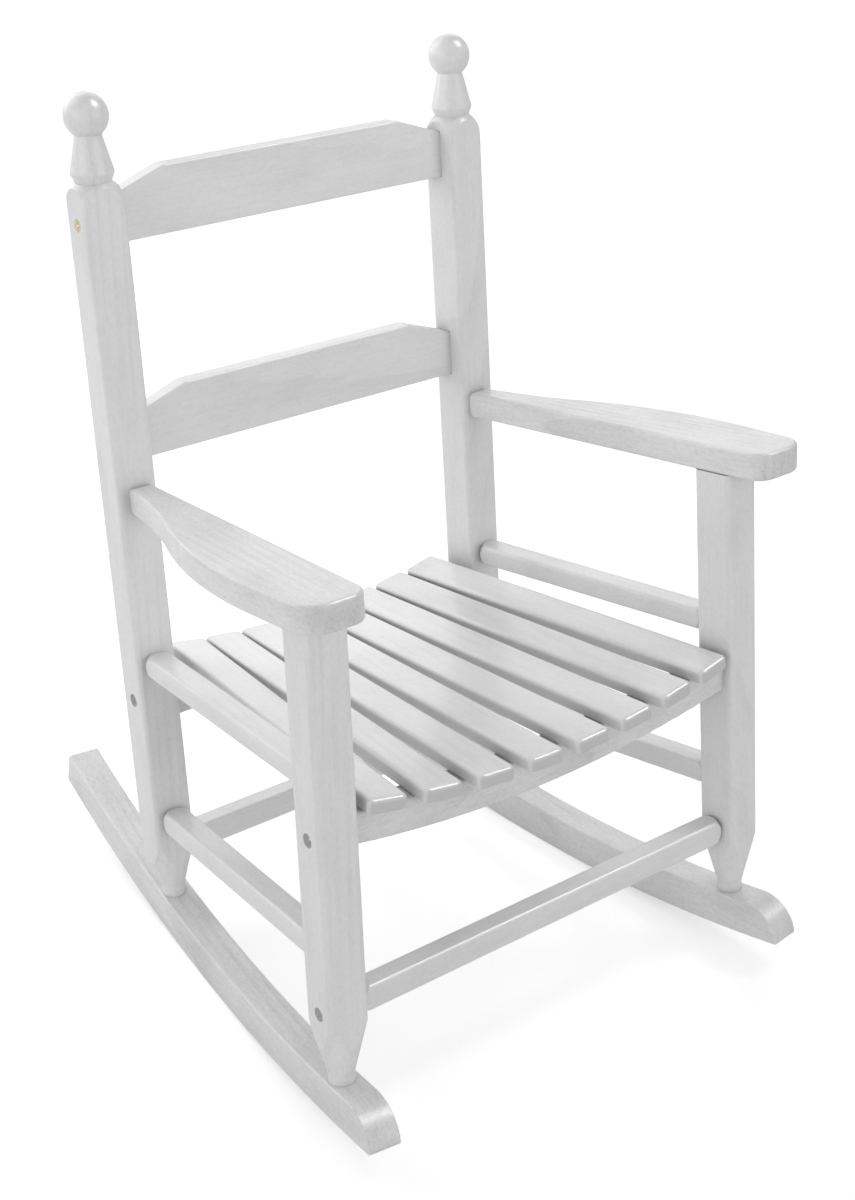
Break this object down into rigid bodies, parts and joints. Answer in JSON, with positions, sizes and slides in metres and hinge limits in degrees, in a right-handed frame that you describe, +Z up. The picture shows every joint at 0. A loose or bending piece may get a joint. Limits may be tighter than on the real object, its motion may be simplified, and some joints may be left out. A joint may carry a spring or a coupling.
{
  "type": "rocking chair",
  "caption": "Child's porch rocking chair in painted wood, with turned feet, ball finials, flat shaped arms, a dished slat seat, a slatted back and curved rockers.",
  "frame": {"origin": "on the floor, at the centre of the footprint box of the chair at rest", "axes": "+X to the right as seen from in front, -Y to the front where the sitter faces, +Z up"},
  "size_m": [0.388, 0.4516, 0.5637],
  "materials": {
    "painted_wood": "semi-gloss white paint with fine wood grain showing through",
    "brass_screws": "bright, a little tarnished",
    "zinc_fasteners": "bright zinc plating"
  },
  "bodies": {
    "root": {"arm_left": "painted_wood", "arm_right": "painted_wood", "arm_screws": "brass_screws", "back_slat_lower": "painted_wood", "back_slat_screws": "brass_screws", "back_slat_upper": "painted_wood", "front_post_left": "painted_wood", "front_post_right": "painted_wood", "front_stretcher": "painted_wood", "rear_post_left": "painted_wood", "rear_post_right": "painted_wood", "rear_stretcher": "painted_wood", "rocker_left": "painted_wood", "rocker_right": "painted_wood", "seat_rail_front": "painted_wood", "seat_rail_rear": "painted_wood", "seat_rail_screws": "zinc_fasteners", "seat_slat_1": "painted_wood", "seat_slat_2": "painted_wood", "seat_slat_3": "painted_wood", "seat_slat_4": "painted_wood", "seat_slat_5": "painted_wood", "seat_slat_6": "painted_wood", "seat_slat_7": "painted_wood", "seat_slat_8": "painted_wood", "seat_slat_brads": "zinc_fasteners", "side_rail_left": "painted_wood", "side_rail_right": "painted_wood", "side_stretcher_left": "painted_wood", "side_stretcher_right": "painted_wood", "stretcher_screws": "zinc_fasteners"}
  },
  "joints": []
}
